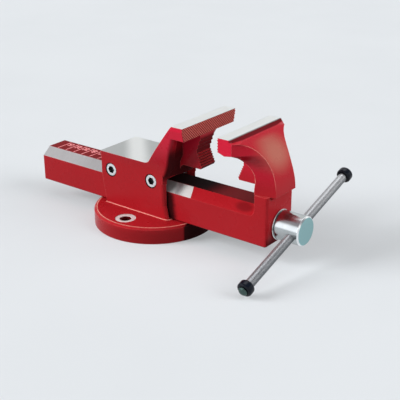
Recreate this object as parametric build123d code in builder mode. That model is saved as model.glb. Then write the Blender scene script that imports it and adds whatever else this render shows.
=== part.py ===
from build123d import *
import os
from math import asin, ceil, cos, hypot, radians, sin, sqrt

os.makedirs("parts", exist_ok=True)

# A 120 mm parallel bench vise with a forged body on a round bolt-down base. X runs along the
# slide towards the spindle head, Y across the jaws, Z up. The origin is the middle of the
# base's underside. The jaws are drawn open by jaw_opening.

# Jaws
jaw_width = 120
jaw_top = 176.5  # working height above the bench
jaw_face_height = 19
jaw_depth = 19.6  # flat top of each jaw, back from its gripping face
jaw_opening = 56.2
fixed_face_x = 102.9  # gripping face of the fixed jaw
jaw_shelf = 18.9  # underside of the fixed jaw, back from its gripping face
serration_pitch = 4  # along the jaw, from groove to groove of either diagonal
serration_depth = 1.5  # over half the spacing, so that the grooves leave sharp points

# Round base
base_diameter = 181
base_thickness = 24
base_edge = 2.5
bolt_spacing = 132
bolt_hole_diameter = 17
spot_face_diameter = 30
spot_face_depth = 0.6
base_recess_diameter = 150
base_recess_depth = 12
bolt_boss_diameter = 34

# Slide bar, a prism with sloping guide faces, hollow and open underneath
bar_width = 62
bar_top_width = 33
bar_side_height = 40
guide_face_rise = 12
bar_gap = 2  # underside of the bar above the base
bar_tail = 203.5  # rear end of the bar, back from the origin
bar_wall = 7.5
bar_edge = 1.5

# Housing round the bar
housing_wall = 6.2
housing_rear = 70
housing_rear_rake = 8
housing_rear_knee = 70  # height at which the rear face starts to lean in
housing_front = 51
front_upright = 20  # upright stretch of the front, above and below the foot of the guide faces
housing_toe = 58
housing_edge = 7  # rounding of the upright front edges
anvil_top = 105
anvil_front = 21.3  # where the slope of the fixed jaw leaves the anvil
anvil_fillet = 15
nose_reach = 64.5  # rounded front of the fixed jaw's stem over the bar
nose_radius = 50
nose_top = 122
nose_root = 45  # where the nose starts inside the housing
nose_lap = 6  # root of the pipe jaw inside the nose
mouth_depth = 12
mouth_reach = 16  # end of the mouth's flare in front of the upright front
mouth_flare = 4.6  # how far the mouth opens sideways
mouth_rise = 4  # how far it opens above the gibs
mouth_round = 6
mouth_outer_round = 10
jaw_end_height = 6  # upright strip at each end of the fixed jaw
jaw_lap = 4  # root of each pipe jaw inside the jaw above it
flare_foot = 90  # height at which the flanks start to widen towards the jaw
flare_share = 0.4  # share of the widening that is reached half-way up
flare_slope = 0.25  # how the flanks run out where they meet the jaw's ends
base_lap = 4  # root of the housing inside the base
foot_fillet = 3

# Pipe jaws under the gripping faces
pipe_jaw_width = 31
pipe_jaw_setback = 5
pipe_jaw_vee_depth = 11
pipe_jaw_lip = 2.5
pipe_jaw_top_drop = 9.5  # below the gripping face, to the start of the vee
pipe_jaw_vee_drop = 27.5
pipe_jaw_lip_drop = 47.5
pipe_jaw_drop = 51.5
pipe_jaw_back_off = 2  # the edge under the lip lies this much further back
lip_fillet = 8  # where the underside of a pipe jaw meets its stem
pipe_tooth_count = 6
pipe_tooth_depth = 1.6
pocket_foot_wall = 4
pocket_head_wall = 12.8
pocket_depth = 17
pocket_foot = 118
pocket_round = 4

# Sliding jaw
block_front = 220
throat_x = 199
shield_reach = 8  # shield in front of the block
shield_foot = 97.5
shield_recede = 46.9  # how far the shield falls back up to the jaw's top
shield_step = 5  # drop of the slope under the shield
block_edge = 4  # rounding of the upright front edges
throat_fillet = 8
throat_flare = 17  # how far the back of the column leans out under the jaw
shield_spare = 1  # stock that is trimmed off the column to leave the shield's one arc
shield_width = 47
head_depth = 22.9
head_bevel = 5
head_foot = 2  # back of the head below the gripping face
head_root = 4  # root of the head inside the column, below the gripping face
head_shoulder = 8  # ends of the head, outside the full height of the shield
bore_wall = 32  # solid length round the spindle at the front

# Clearances
slide_clearance = 0.3
gib_clearance = 0.1
running_clearance = 0.08
thread_clearance = 0.1
bolt_clearance = 0.5
cut_past = 1  # how far a cut runs past the surface that it opens

# Gibs and their adjusting screws
gib_rear = 66
gib_front = 37
gib_rise = 10  # top of the gib above the bar
gib_foot = 2
screw_diameter = 20
screw_recess = 0.5
screw_rear_x = -51.7
screw_front_x = 25.3
screw_chamfer = 1
screw_hex = 10
screw_hex_depth = 4.2
dog_diameter = 8
dog_length = 4

# Spindle, thrust parts and nut
spindle_height = 25  # axis above the underside of the bar
spindle_diameter = 24
spindle_tail = 130
head_diameter = 41.5
head_length = 38.5
head_chamfer = 2
ring_diameter = 43
ring_thickness = 2.6
ring_chamfer = 0.6
washer_diameter = 34
washer_thickness = 2
collar_diameter = 34
collar_length = 12
pin_diameter = 6
pin_inset = 0.5
pin_chamfer = 0.5
nut_length = 60
nut_center = -5
nut_width = 38
nut_top_margin = 3
nut_edge = 6
nut_bolt_diameter = 10
nut_bolt_spacing = 36
nut_bolt_head_diameter = 16
nut_bolt_head_height = 10
nut_bolt_reach = 9.5
nut_bolt_hex = 8

# Handle
handle_diameter = 13
handle_length = 274
handle_offset = 2.6
handle_tilt = 17.6
handle_hole_back = 13.6  # hole axis behind the end face of the head
handle_dome = 3
bumper_diameter = 21
bumper_length = 13
bumper_edge = 2
bumper_inset = 4
bumper_neck = 1  # depth of the groove that holds a bumper

# Derived places
bar_bottom = base_thickness + bar_gap
guide_foot = bar_bottom + bar_side_height
bar_top = guide_foot + guide_face_rise
bar_half = bar_width / 2
bar_top_half = bar_top_width / 2
housing_half = bar_half + slide_clearance + housing_wall
jaw_half = jaw_width / 2
jaw_foot = jaw_top - jaw_face_height
moving_face_x = fixed_face_x + jaw_opening
spindle_z = bar_bottom + spindle_height
floor_z = bar_bottom - gib_clearance
gib_top = bar_top + gib_rise
gib_inner = bar_top_half + gib_clearance
shield_front = block_front + shield_reach
bevel_foot = jaw_top - head_bevel
shield_radius = ((jaw_top - shield_foot) ** 2 + shield_recede**2) / (2 * shield_recede)
bore_back = block_front - bore_wall
ring_front = block_front + ring_thickness + 2 * gib_clearance
head_end = ring_front + head_length
handle_x = head_end - handle_hole_back
screw_z = (guide_foot + gib_foot + gib_top) / 2
pipe_jaw_foot = jaw_foot - pipe_jaw_drop
nose_edge = nose_reach - nose_radius + sqrt(nose_radius**2 - (pipe_jaw_width / 2) ** 2)
column_top = jaw_foot - head_foot
column_rise = column_top - shield_foot
head_rise = bevel_foot - column_top


def guide_line(y, rise=0.0):
    """Height of the sloping guide face at y, lifted by rise square to the face."""
    run = bar_half - bar_top_half
    slope = guide_face_rise / run
    lift = rise * hypot(run, guide_face_rise) / run
    return guide_foot + (bar_half - y) * slope + lift


def guide_line_at(height, rise=0.0):
    """Distance from the middle at which the lifted guide face reaches a height."""
    return bar_half - (height - guide_line(bar_half, rise)) * (bar_half - bar_top_half) / guide_face_rise


def shield_x(z):
    """Front of the shield at height z: one arc that stands upright at its foot."""
    return shield_front - shield_radius + sqrt(shield_radius**2 - (z - shield_foot) ** 2)


def bar_outline():
    """Right half of the bar's section, from its underside up."""
    return [
        (0, bar_bottom),
        (bar_half, bar_bottom),
        (bar_half, guide_foot),
        (bar_top_half, bar_top),
        (0, bar_top),
    ]


def toothed(start, end, count, depth):
    """Points of a row of sharp teeth from start to end; the valleys lie on its left."""
    step_x, step_z = (end[0] - start[0]) / count, (end[1] - start[1]) / count
    length = hypot(step_x, step_z)
    across_x, across_z = -step_z / length * depth, step_x / length * depth
    points = [start]
    for tooth in range(count):
        middle_x = start[0] + step_x * (tooth + 0.5) + across_x
        middle_z = start[1] + step_z * (tooth + 0.5) + across_z
        points += [(middle_x, middle_z), (start[0] + step_x * (tooth + 1), start[1] + step_z * (tooth + 1))]
    return points


def pipe_jaw_outline(face, sign, stem, low_root, high_root):
    """Side outline of a pipe jaw below the gripping plane face; sign points at the workpiece."""
    top = jaw_foot + jaw_lap
    back = face - sign * pipe_jaw_setback
    vee_top = (back, jaw_foot - pipe_jaw_top_drop)
    vee = (face - sign * pipe_jaw_vee_depth, jaw_foot - pipe_jaw_vee_drop)
    lip = (face - sign * pipe_jaw_lip, jaw_foot - pipe_jaw_lip_drop)
    turn = -sign * pipe_tooth_depth
    upper = toothed(vee_top, vee, pipe_tooth_count // 2, turn)
    lower = toothed(vee, lip, pipe_tooth_count, turn)
    return [
        (high_root, top),
        (back, top),
        *upper[:-1],
        *lower,
        (lip[0] - sign * pipe_jaw_back_off, pipe_jaw_foot),
        (stem, pipe_jaw_foot),
        (stem, pipe_jaw_foot - 2 * lip_fillet),
        (low_root, pipe_jaw_foot - 2 * lip_fillet),
        (low_root, pipe_jaw_foot),
    ]


def finish(builder, label):
    builder.part.label = label
    export_step(builder.part, f"parts/{label}.step")


# ---------------------------------------------------------------- serration of the gripping faces
# Diagonal V-grooves, cut by square bars on edge, and crossed by their mirror image. The bars
# stick out on both sides of the gripping plane, so one set serves both jaws.
groove_spacing = serration_pitch / sqrt(2)
groove_count = ceil((jaw_width + jaw_face_height) / serration_pitch)
with BuildPart() as grooves:
    with BuildSketch(Plane(origin=(0, 0, 0), x_dir=(1, 0, 0), z_dir=(0, 1, 1))):
        with GridLocations(0, groove_spacing, 1, groove_count):
            RegularPolygon(serration_depth, 4)
    extrude(amount=jaw_width, both=True)
    with BuildSketch(Plane.YZ):
        Rectangle(jaw_width + 2 * cut_past, jaw_face_height + 2 * cut_past)
    extrude(amount=serration_depth, both=True, mode=Mode.INTERSECT)
serration = (grooves.part, grooves.part.mirror(Plane.XZ))

# ---------------------------------------------------------------- fixed body
below = base_thickness - base_lap
with BuildPart() as fixed_body:
    # side outline of housing, anvil and fixed jaw, cut to the flared front outline
    with BuildSketch(Plane.XZ) as side:
        with BuildLine():
            Polyline(
                (-housing_rear + housing_rear_rake, below),
                (-housing_rear, housing_rear_knee),
                (-housing_rear, anvil_top),
                (anvil_front, anvil_top),
                (fixed_face_x - jaw_depth, jaw_top),
                (fixed_face_x, jaw_top),
                (fixed_face_x, jaw_foot),
                (fixed_face_x - jaw_shelf, jaw_foot),
                (housing_front, guide_foot + front_upright),
                (housing_front, guide_foot - front_upright),
                (housing_toe, below),
                close=True,
            )
        make_face()
        fillet(side.vertices().sort_by_distance((anvil_front, anvil_top))[0], anvil_fillet)
    extrude(amount=jaw_half, both=True)
    with BuildSketch(Plane.YZ.offset(-housing_rear - cut_past)):
        with BuildLine():
            Polyline((0, below), (housing_half, below), (housing_half, flare_foot))
            Spline(
                (housing_half, flare_foot),
                (housing_half + flare_share * (jaw_half - housing_half), (flare_foot + jaw_foot) / 2),
                (jaw_half, jaw_top - jaw_end_height),
                tangents=[(0, 1), (flare_slope, 1)],
            )
            Polyline((jaw_half, jaw_top - jaw_end_height), (jaw_half, jaw_top), (0, jaw_top), (0, below))
        make_face()
        mirror(about=Plane.YZ)
    extrude(amount=housing_rear + fixed_face_x + 2 * cut_past, mode=Mode.INTERSECT)
    # rounded upright front edges of the side walls
    front_edges = fixed_body.edges().filter_by_position(
        Axis.X, housing_front - cut_past, housing_toe + cut_past
    )
    for sign in (-1, 1):
        corner = sign * housing_half
        fillet(front_edges.filter_by_position(Axis.Y, corner - 0.01, corner + 0.01), housing_edge)
    # pockets beside the pipe jaw, open to the front
    pocket_back = fixed_face_x - jaw_shelf - pocket_depth
    with BuildSketch(Plane.YZ.offset(pocket_back)) as pockets:
        with BuildLine():
            Polyline(
                (pipe_jaw_width / 2, jaw_foot),
                (pipe_jaw_width / 2, pocket_foot),
                (housing_half - pocket_foot_wall, pocket_foot),
                (jaw_half - pocket_head_wall, jaw_foot),
                close=True,
            )
        make_face()
        fillet(pockets.vertices().group_by(Axis.Y)[0], pocket_round)
        mirror(about=Plane.YZ)
    extrude(amount=jaw_shelf + pocket_depth, mode=Mode.SUBTRACT)
    # rounded nose of the stem over the bar
    with BuildSketch(Plane.XY.offset(bar_top + gib_clearance)):
        with Locations((nose_reach - nose_radius, 0)):
            Circle(nose_radius)
        with Locations((nose_root, 0)):
            Rectangle(
                nose_reach - nose_root,
                2 * housing_half,
                mode=Mode.INTERSECT,
                align=(Align.MIN, Align.CENTER),
            )
    extrude(amount=nose_top - bar_top)
    # pipe jaw
    with BuildSketch(Plane.XZ) as pipe_jaw:
        with BuildLine():
            outline = pipe_jaw_outline(
                fixed_face_x, 1, nose_edge, nose_reach - nose_lap, fixed_face_x - jaw_shelf
            )
            Polyline(*outline, close=True)
        make_face()
        fillet(pipe_jaw.vertices().sort_by_distance((nose_edge, pipe_jaw_foot))[0], lip_fillet)
    extrude(amount=pipe_jaw_width / 2, both=True)
    # round base
    with BuildSketch():
        Circle(base_diameter / 2)
    extrude(amount=base_thickness)
    rim = fixed_body.edges().filter_by(GeomType.CIRCLE).sort_by(SortBy.RADIUS)[-2:]
    chamfer(rim.sort_by(Axis.Z)[-1], base_edge)
    foot_edges = (
        fixed_body.edges()
        .filter_by(GeomType.LINE)
        .filter_by_position(Axis.Z, base_thickness - 0.01, base_thickness + 0.01)
    )
    fillet(foot_edges, foot_fillet)
    # tunnel of the bar, with a slot for a gib over each guide face
    tunnel_half = bar_half + slide_clearance
    with BuildSketch(Plane.YZ.offset(-housing_rear - cut_past)):
        with BuildLine():
            Polyline(
                (0, floor_z),
                (tunnel_half, floor_z),
                (tunnel_half, gib_top + gib_clearance),
                (gib_inner - gib_clearance, gib_top + gib_clearance),
                (gib_inner - gib_clearance, bar_top + slide_clearance),
                (0, bar_top + slide_clearance),
                close=True,
            )
        make_face()
        mirror(about=Plane.YZ)
    extrude(amount=housing_rear + nose_reach + mouth_reach, mode=Mode.SUBTRACT)
    # flared mouth at the front opening
    for offset, half, top, corner in (
        (housing_front - mouth_depth, tunnel_half, gib_top + gib_clearance, mouth_round),
        (
            housing_front + mouth_reach,
            tunnel_half + mouth_flare,
            gib_top + mouth_rise,
            mouth_outer_round,
        ),
    ):
        with BuildSketch(Plane.YZ.offset(offset)) as mouth:
            with Locations((0, (floor_z + top) / 2)):
                Rectangle(2 * half, top - floor_z)
            fillet(mouth.vertices().group_by(Axis.Y)[-1], corner)
    loft(mode=Mode.SUBTRACT)
    # bolt holes and their spot faces
    with Locations((0, -bolt_spacing / 2, base_thickness), (0, bolt_spacing / 2, base_thickness)):
        CounterBoreHole(bolt_hole_diameter / 2, spot_face_diameter / 2, spot_face_depth)
    # adjusting screw holes, square through each side wall
    for sign in (-1, 1):
        wall_plane = Plane(origin=(0, sign * housing_half, 0), x_dir=(1, 0, 0), z_dir=(0, sign, 0))
        with BuildSketch(wall_plane):
            with Locations(*[(x, -sign * screw_z) for x in (screw_rear_x, screw_front_x)]):
                Circle(screw_diameter / 2 + thread_clearance)
        extrude(amount=-housing_wall - slide_clearance, mode=Mode.SUBTRACT)
    # hollow under the base, round the bosses of the bolt holes, and the holes of the nut's bolts
    with BuildSketch():
        Circle(base_recess_diameter / 2)
        with GridLocations(0, bolt_spacing, 1, 2):
            Circle(bolt_boss_diameter / 2, mode=Mode.SUBTRACT)
    extrude(amount=base_recess_depth, mode=Mode.SUBTRACT)
    with BuildSketch(Plane.XY.offset(base_recess_depth)):
        with Locations((nut_center, 0)):
            with GridLocations(nut_bolt_spacing, 0, 2, 1):
                Circle(nut_bolt_diameter / 2 + bolt_clearance)
    extrude(amount=floor_z - base_recess_depth + cut_past, mode=Mode.SUBTRACT)
    with Locations((fixed_face_x, 0, jaw_top - jaw_face_height / 2)):
        for cutter in serration:
            add(cutter, mode=Mode.SUBTRACT)
finish(fixed_body, "fixed_body")

# ---------------------------------------------------------------- sliding jaw
with BuildPart() as sliding_jaw:
    # slide bar and the block that carries the spindle
    with BuildSketch(Plane.YZ.offset(-bar_tail)):
        with BuildLine():
            Polyline(*bar_outline(), close=True)
        make_face()
        mirror(about=Plane.YZ)
    extrude(amount=bar_tail + block_front)
    with BuildSketch(Plane.XY.offset(bar_bottom)):
        with Locations(((throat_x + block_front) / 2, 0)):
            Rectangle(block_front - throat_x, bar_width)
    extrude(amount=shield_foot - bar_bottom)
    fillet(sliding_jaw.edges().filter_by(Axis.X).group_by(Axis.Z)[0], bar_edge)
    fillet(sliding_jaw.edges().filter_by(Axis.Z).group_by(Axis.X)[-1], block_edge)
    # column, flaring into the head, with the convex shield on its front
    column_shape = (
        # shares of the height, of the lean at the back, of the widening and of the shield's widening
        (0, 0, 0, 0),
        (0.22, 0, 0, -0.02),
        (0.43, 0, 0, -0.035),
        (0.63, 0.4, 0.03, -0.02),
        (0.78, 0.87, 0.2, 0.035),
        (0.905, 1, 0.58, 0.105),
        (1, 1, 1, 0.19),
    )
    head_front_half = jaw_half - head_shoulder
    head_shape = ((0, 1, 1, 0.19), (0.47, 1, 1, 0.4), (0.75, 1, 1, 0.63), (1, 1, 1, 1))
    for foot, rise, shape in ((shield_foot, column_rise, column_shape), (column_top, head_rise, head_shape)):
        for share, lean, widening, shield_widening in shape:
            height = foot + share * rise
            back = throat_x - lean * throat_flare
            back_half = bar_half + widening * (jaw_half - bar_half)
            front_half = shield_width / 2 + shield_widening * (head_front_half - shield_width / 2)
            with BuildSketch(Plane.XY.offset(height)):
                with BuildLine():
                    Polyline(
                        (back, -back_half),
                        (shield_x(height) + shield_spare, -front_half),
                        (shield_x(height) + shield_spare, front_half),
                        (back, back_half),
                        close=True,
                    )
                make_face()
        loft()
    # head across the whole width
    with BuildSketch(Plane.XZ):
        with BuildLine():
            Polyline(
                (moving_face_x, jaw_foot),
                (moving_face_x, jaw_top),
                (moving_face_x + jaw_depth, jaw_top),
                (moving_face_x + head_depth, bevel_foot),
                (moving_face_x + head_depth, column_top),
                (moving_face_x + head_depth / 2, jaw_foot - head_root),
                close=True,
            )
        make_face()
    extrude(amount=jaw_half, both=True)
    # bevel from the flat top down to the shield, deepest in the middle
    head_middle_x = moving_face_x + jaw_depth / 2
    flat_back = moving_face_x + jaw_depth
    for height, end_x, middle_x in (
        (bevel_foot, moving_face_x + head_depth, shield_x(bevel_foot) + shield_spare),
        (jaw_top, flat_back, flat_back),
    ):
        with BuildSketch(Plane.XY.offset(height)):
            with BuildLine():
                Polyline(
                    (head_middle_x, -jaw_half),
                    (end_x, -jaw_half),
                    (middle_x, -head_front_half),
                    (middle_x, head_front_half),
                    (end_x, jaw_half),
                    (head_middle_x, jaw_half),
                    close=True,
                )
            make_face()
    loft(ruled=True)
    # the shield's front, one arc from its foot to the jaw's top
    shield_middle = (shield_foot + jaw_top) / 2
    with BuildSketch(Plane.XZ):
        with BuildLine():
            ThreePointArc(
                (shield_front, shield_foot),
                (shield_x(shield_middle), shield_middle),
                (shield_x(jaw_top), jaw_top),
            )
            Polyline(
                (shield_x(jaw_top), jaw_top),
                (shield_front + 2 * shield_spare, jaw_top),
                (shield_front + 2 * shield_spare, shield_foot),
                (shield_front, shield_foot),
            )
        make_face()
    extrude(amount=jaw_half, both=True, mode=Mode.SUBTRACT)
    # step under the shield
    with BuildSketch(Plane.XZ):
        with BuildLine():
            Polyline(
                (block_front - shield_reach, shield_foot - shield_step),
                (block_front, shield_foot - shield_step),
                (shield_front, shield_foot),
                (block_front - shield_reach, shield_foot),
                close=True,
            )
        make_face()
    extrude(amount=shield_width / 2, both=True)
    # soft corner where the bar runs into the column
    throat_edges = sliding_jaw.edges().filter_by_position(Axis.X, throat_x - 0.01, throat_x + 0.01)
    fillet(throat_edges.filter_by_position(Axis.Z, guide_foot, bar_top + 0.01), throat_fillet)
    # pipe jaw
    with BuildSketch(Plane.XZ) as pipe_jaw:
        with BuildLine():
            outline = pipe_jaw_outline(
                moving_face_x, -1, throat_x, throat_x + jaw_lap, throat_x - jaw_lap
            )
            Polyline(*outline, close=True)
        make_face()
        fillet(pipe_jaw.vertices().sort_by_distance((throat_x, pipe_jaw_foot))[0], lip_fillet)
    extrude(amount=pipe_jaw_width / 2, both=True)
    # hollow of the bar, open underneath and at its rear end
    with BuildSketch(Plane.YZ.offset(-bar_tail - cut_past)):
        with BuildLine():
            Polyline(
                (0, bar_bottom - cut_past),
                (bar_half - bar_wall, bar_bottom - cut_past),
                (bar_half - bar_wall, guide_line(bar_half - bar_wall, -bar_wall)),
                (guide_line_at(bar_top - bar_wall, -bar_wall), bar_top - bar_wall),
                (0, bar_top - bar_wall),
                close=True,
            )
        make_face()
        mirror(about=Plane.YZ)
    extrude(amount=bar_tail + cut_past + bore_back, mode=Mode.SUBTRACT)
    # bearing bore of the spindle
    with BuildSketch(Plane.YZ.offset(bore_back - cut_past)):
        with Locations((0, spindle_z)):
            Circle(spindle_diameter / 2 + running_clearance)
    extrude(amount=bore_wall + 2 * cut_past, mode=Mode.SUBTRACT)
    with Locations((moving_face_x, 0, jaw_top - jaw_face_height / 2)):
        for cutter in serration:
            add(cutter, mode=Mode.SUBTRACT)
finish(sliding_jaw, "sliding_jaw")

# ---------------------------------------------------------------- guide gibs and adjusting screws
gib_outer = bar_half + slide_clearance - gib_clearance
gib_corner = bar_half - gib_foot * (bar_half - bar_top_half) / guide_face_rise
gib_outline = [
    (gib_outer, gib_top),
    (gib_inner, gib_top),
    (gib_inner, guide_line(gib_inner, gib_clearance)),
    (gib_corner, guide_line(gib_corner, gib_clearance)),
    (gib_outer, guide_line(gib_corner, gib_clearance)),
]
for name, sign in (("near", -1), ("far", 1)):
    outward = Plane(origin=(0, sign * gib_outer, 0), x_dir=(1, 0, 0), z_dir=(0, sign, 0))
    with BuildPart() as gib:
        with BuildSketch(Plane.YZ.offset(-gib_rear)):
            with BuildLine():
                Polyline(*[(sign * y, z) for y, z in gib_outline], close=True)
            make_face()
        extrude(amount=gib_rear + gib_front)
        with BuildSketch(outward):
            with Locations(*[(x, -sign * screw_z) for x in (screw_rear_x, screw_front_x)]):
                Circle(dog_diameter / 2 + thread_clearance)
        extrude(amount=-dog_length - 2 * gib_clearance, mode=Mode.SUBTRACT)
    finish(gib, f"guide_gib_{name}")
    for place, x in (("rear", screw_rear_x), ("front", screw_front_x)):
        inner = Plane(
            origin=(x, sign * (bar_half + slide_clearance), screw_z), x_dir=(1, 0, 0), z_dir=(0, sign, 0)
        )
        with BuildPart() as screw:
            with BuildSketch(inner):
                Circle(screw_diameter / 2)
            extrude(amount=housing_wall - screw_recess)
            outer_end = screw.faces().sort_by(Axis.Y)[0 if sign < 0 else -1]
            chamfer(outer_end.edges(), screw_chamfer)
            with BuildSketch(inner):
                Circle(dog_diameter / 2)
            extrude(amount=-dog_length)
            with BuildSketch(inner.offset(housing_wall - screw_recess)):
                RegularPolygon(screw_hex / 2, 6, major_radius=False)
            extrude(amount=-screw_hex_depth, mode=Mode.SUBTRACT)
        finish(screw, f"adjusting_screw_{name}_{place}")

# ---------------------------------------------------------------- spindle and its thrust parts
spindle_axis = Axis((0, 0, spindle_z), (1, 0, 0))
tilt = radians(handle_tilt)
handle_axis = (0, cos(tilt), sin(tilt))
collar_front = bore_back - washer_thickness - 2 * gib_clearance
collar_middle = collar_front - collar_length / 2
with BuildPart() as spindle:
    with BuildSketch(Plane.XZ) as profile:
        with BuildLine():
            Polyline(
                (-spindle_tail, spindle_z),
                (-spindle_tail, spindle_z + spindle_diameter / 2),
                (ring_front, spindle_z + spindle_diameter / 2),
                (ring_front, spindle_z + head_diameter / 2),
                (head_end, spindle_z + head_diameter / 2),
                (head_end, spindle_z),
                close=True,
            )
        make_face()
        chamfer(profile.vertices().group_by(Axis.Y)[-1], head_chamfer)
        chamfer(profile.vertices().group_by(Axis.X)[0].sort_by(Axis.Y)[-1], head_chamfer)
    revolve(axis=spindle_axis)
    with BuildSketch(Plane(origin=(handle_x, 0, spindle_z), x_dir=(1, 0, 0), z_dir=handle_axis)):
        Circle(handle_diameter / 2 + thread_clearance)
    extrude(amount=head_diameter, both=True, mode=Mode.SUBTRACT)
    with BuildSketch(Plane.XY.offset(spindle_z)):
        with Locations((collar_middle, 0)):
            Circle(pin_diameter / 2)
    extrude(amount=spindle_diameter, both=True, mode=Mode.SUBTRACT)
finish(spindle, "spindle")

with BuildPart() as thrust_ring:
    with BuildSketch(Plane.YZ.offset(block_front + gib_clearance)):
        with Locations((0, spindle_z)):
            Circle(ring_diameter / 2)
            Circle(spindle_diameter / 2 + running_clearance, mode=Mode.SUBTRACT)
    extrude(amount=ring_thickness)
    chamfer(thrust_ring.edges().filter_by(GeomType.CIRCLE).sort_by(SortBy.RADIUS)[-2:], ring_chamfer)
finish(thrust_ring, "thrust_ring")

with BuildPart() as rear_washer:
    with BuildSketch(Plane.YZ.offset(bore_back - washer_thickness - gib_clearance)):
        with Locations((0, spindle_z)):
            Circle(washer_diameter / 2)
            Circle(spindle_diameter / 2 + running_clearance, mode=Mode.SUBTRACT)
    extrude(amount=washer_thickness)
finish(rear_washer, "rear_washer")

with BuildPart() as retaining_collar:
    with BuildSketch(Plane.YZ.offset(collar_front - collar_length)):
        with Locations((0, spindle_z)):
            Circle(collar_diameter / 2)
            Circle(spindle_diameter / 2, mode=Mode.SUBTRACT)
    extrude(amount=collar_length)
    chamfer(retaining_collar.edges().filter_by(GeomType.CIRCLE).sort_by(SortBy.RADIUS)[-2:], ring_chamfer)
    with BuildSketch(Plane.XY.offset(spindle_z)):
        with Locations((collar_middle, 0)):
            Circle(pin_diameter / 2)
    extrude(amount=collar_diameter, both=True, mode=Mode.SUBTRACT)
finish(retaining_collar, "retaining_collar")

with BuildPart() as collar_pin:
    with BuildSketch(Plane.XY.offset(spindle_z)):
        with Locations((collar_middle, 0)):
            Circle(pin_diameter / 2)
    extrude(amount=collar_diameter / 2 - pin_inset, both=True)
    chamfer(collar_pin.edges().filter_by(GeomType.CIRCLE), pin_chamfer)
finish(collar_pin, "collar_pin")

# ---------------------------------------------------------------- nut and its bolts
nut_top = bar_top - bar_wall - nut_top_margin
with BuildPart() as spindle_nut:
    with BuildSketch(Plane.YZ.offset(nut_center - nut_length / 2)) as nut_face:
        with Locations((0, (floor_z + nut_top) / 2)):
            Rectangle(nut_width, nut_top - floor_z)
        chamfer(nut_face.vertices().group_by(Axis.Y)[-1], nut_edge)
        with Locations((0, spindle_z)):
            Circle(spindle_diameter / 2 + thread_clearance, mode=Mode.SUBTRACT)
    extrude(amount=nut_length)
    with BuildSketch(Plane.XY.offset(floor_z)):
        with Locations((nut_center, 0)):
            with GridLocations(nut_bolt_spacing, 0, 2, 1):
                Circle(nut_bolt_diameter / 2 + thread_clearance)
    extrude(amount=nut_bolt_reach + bolt_clearance, mode=Mode.SUBTRACT)
finish(spindle_nut, "spindle_nut")

with BuildPart() as nut_bolts:
    with BuildSketch(Plane.XY.offset(base_recess_depth - nut_bolt_head_height)):
        with Locations((nut_center, 0)):
            with GridLocations(nut_bolt_spacing, 0, 2, 1):
                Circle(nut_bolt_head_diameter / 2)
                RegularPolygon(nut_bolt_hex / 2, 6, major_radius=False, mode=Mode.SUBTRACT)
    extrude(amount=nut_bolt_head_height / 2)
    with BuildSketch(Plane.XY.offset(base_recess_depth - nut_bolt_head_height / 2)):
        with Locations((nut_center, 0)):
            with GridLocations(nut_bolt_spacing, 0, 2, 1):
                Circle(nut_bolt_head_diameter / 2)
    extrude(amount=nut_bolt_head_height / 2)
    with BuildSketch(Plane.XY.offset(base_recess_depth)):
        with Locations((nut_center, 0)):
            with GridLocations(nut_bolt_spacing, 0, 2, 1):
                Circle(nut_bolt_diameter / 2)
    extrude(amount=floor_z + nut_bolt_reach - base_recess_depth)
finish(nut_bolts, "nut_bolts")

# ---------------------------------------------------------------- handle
rod_plane = Plane(origin=(handle_x, 0, spindle_z), x_dir=handle_axis, z_dir=(1, 0, 0))
rod_axis = Axis((handle_x, 0, spindle_z), handle_axis)
rod_radius = handle_diameter / 2
dome_radius = (rod_radius**2 + handle_dome**2) / (2 * handle_dome)
half_dome = asin(rod_radius / dome_radius) / 2
dome_middle = (dome_radius * (1 - cos(half_dome)), dome_radius * sin(half_dome))
neck_radius = rod_radius - bumper_neck
bumper_spans = []
for sign in (-1, 1):
    end = handle_offset + sign * handle_length / 2
    bumper_spans.append((end - sign * (bumper_inset + bumper_length), end - sign * bumper_inset))
with BuildPart() as handle_rod:
    with BuildSketch(rod_plane):
        near_in, near_out = bumper_spans[0]
        far_in, far_out = bumper_spans[1]
        near_end = handle_offset - handle_length / 2
        far_end = handle_offset + handle_length / 2
        with BuildLine():
            ThreePointArc(
                (near_end, 0),
                (near_end + dome_middle[0], dome_middle[1]),
                (near_end + handle_dome, rod_radius),
            )
            Polyline(
                (near_end + handle_dome, rod_radius),
                (near_out, rod_radius),
                (near_out, neck_radius),
                (near_in, neck_radius),
                (near_in, rod_radius),
                (far_in, rod_radius),
                (far_in, neck_radius),
                (far_out, neck_radius),
                (far_out, rod_radius),
                (far_end - handle_dome, rod_radius),
            )
            ThreePointArc(
                (far_end - handle_dome, rod_radius),
                (far_end - dome_middle[0], dome_middle[1]),
                (far_end, 0),
            )
            Line((far_end, 0), (near_end, 0))
        make_face()
    revolve(axis=rod_axis)
finish(handle_rod, "handle_rod")

for name, (inside, outside) in zip(("near", "far"), bumper_spans):
    with BuildPart() as bumper:
        with BuildSketch(rod_plane) as ring:
            with Locations(((inside + outside) / 2, (neck_radius + bumper_diameter / 2) / 2)):
                Rectangle(bumper_length, bumper_diameter / 2 - neck_radius)
            chamfer(ring.vertices().group_by(Axis.Y)[-1], bumper_edge)
        revolve(axis=rod_axis)
    finish(bumper, f"handle_bumper_{name}")
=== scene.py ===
from math import cos, hypot, pi, radians, sin

import bmesh
import bpy
from mathutils import Matrix, Vector


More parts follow.
